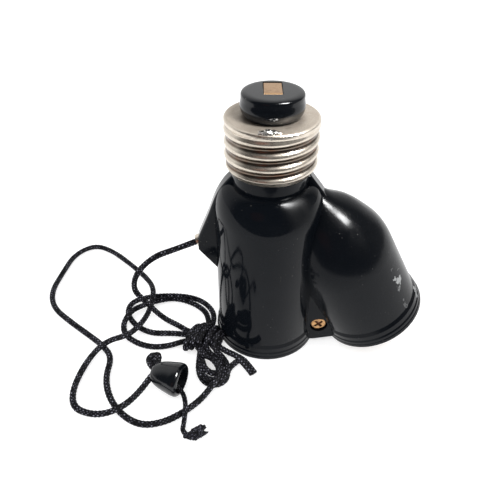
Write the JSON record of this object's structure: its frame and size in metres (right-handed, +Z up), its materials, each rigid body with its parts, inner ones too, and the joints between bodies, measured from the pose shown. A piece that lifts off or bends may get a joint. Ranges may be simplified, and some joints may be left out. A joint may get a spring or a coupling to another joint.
{
  "type": "two-lamp screw-base adapter with pull-cord switch",
  "caption": "Black bakelite lampholder adapter: screw base on top, one lamp socket straight down and one on a tilted side arm, worked by a pull cord with a bell knob.",
  "frame": {"origin": "centre of the main socket mouth, in the plane of its rim", "axes": "+Z up along the main socket axis to the screw base, +X towards the side arm, +Y to the back half shell"},
  "size_m": [0.138, 0.0925, 0.0861],
  "materials": {
    "bakelite": "polished black phenolic",
    "nickel": "nickel plate, bright",
    "copper": "bare copper strip, dulled",
    "solder": "solder, dull",
    "brass": "brass, lightly tarnished",
    "steel": "zinc-plated steel",
    "fibre": "red-brown vulcanised fibre",
    "wire_cover": "red insulated wire",
    "braid": "black braided cord"
  },
  "bodies": {
    "root": {"bundle_cut_end": "braid", "bundle_eye": "braid", "centre_contact_strip": "copper", "centre_insulator": "bakelite", "cord_bundle": "braid", "cord_bush": "nickel", "cord_turns": "braid", "crotch_nut": "brass", "crotch_screw": "brass", "end_knot": "braid", "feed_contact": "brass", "feed_rod": "brass", "front_shell": "bakelite", "inner_cord": "braid", "knob_bight": "braid", "main_centre_contact": "brass", "main_contact_rivet": "brass", "main_fixed_contact": "brass", "main_shell_screws": "brass", "main_socket_base": "fibre", "main_socket_shell": "brass", "neutral_strap": "brass", "pivot_pin": "steel", "pull_cord_lead": "braid", "pull_cord_run": "braid", "pull_cord_tail": "braid", "pull_knob": "bakelite", "rear_shell": "bakelite", "return_spring": "steel", "screw_shell": "nickel", "side_centre_contact": "brass", "side_contact_rivet": "brass", "side_fixed_contact": "brass", "side_lead": "wire_cover", "side_shell_screws": "brass", "side_socket_base": "fibre", "side_socket_shell": "brass", "solder_joint": "solder", "switch_frame": "steel"},
    "lever": {"pull_lever": "steel", "drive_pawl": "steel", "pawl_pin": "steel", "lever_knot": "braid"},
    "rotor": {"switch_rotor": "fibre", "rotor_contacts": "brass", "ratchet_wheel": "steel"}
  },
  "joints": [
    {"name": "pull_lever_turn", "type": "hinge", "parent": "root", "child": "lever", "pos_m": [0.001, 0, 0.0395], "axis": [0, -1, 0], "range_deg": [0, 45], "stiffness_Nm_per_rad": 0.012, "springref_deg": -17.19, "deforming": ["inner_cord", "return_spring"]},
    {"name": "rotor_turn", "type": "hinge", "parent": "root", "child": "rotor", "pos_m": [0.001, 0, 0.0395], "axis": [0, -1, 0], "range_deg": [0, 45]}
  ],
  "couplings": [
    {"joint": "rotor_turn", "follows": "pull_lever_turn", "ratio": 1}
  ]
}
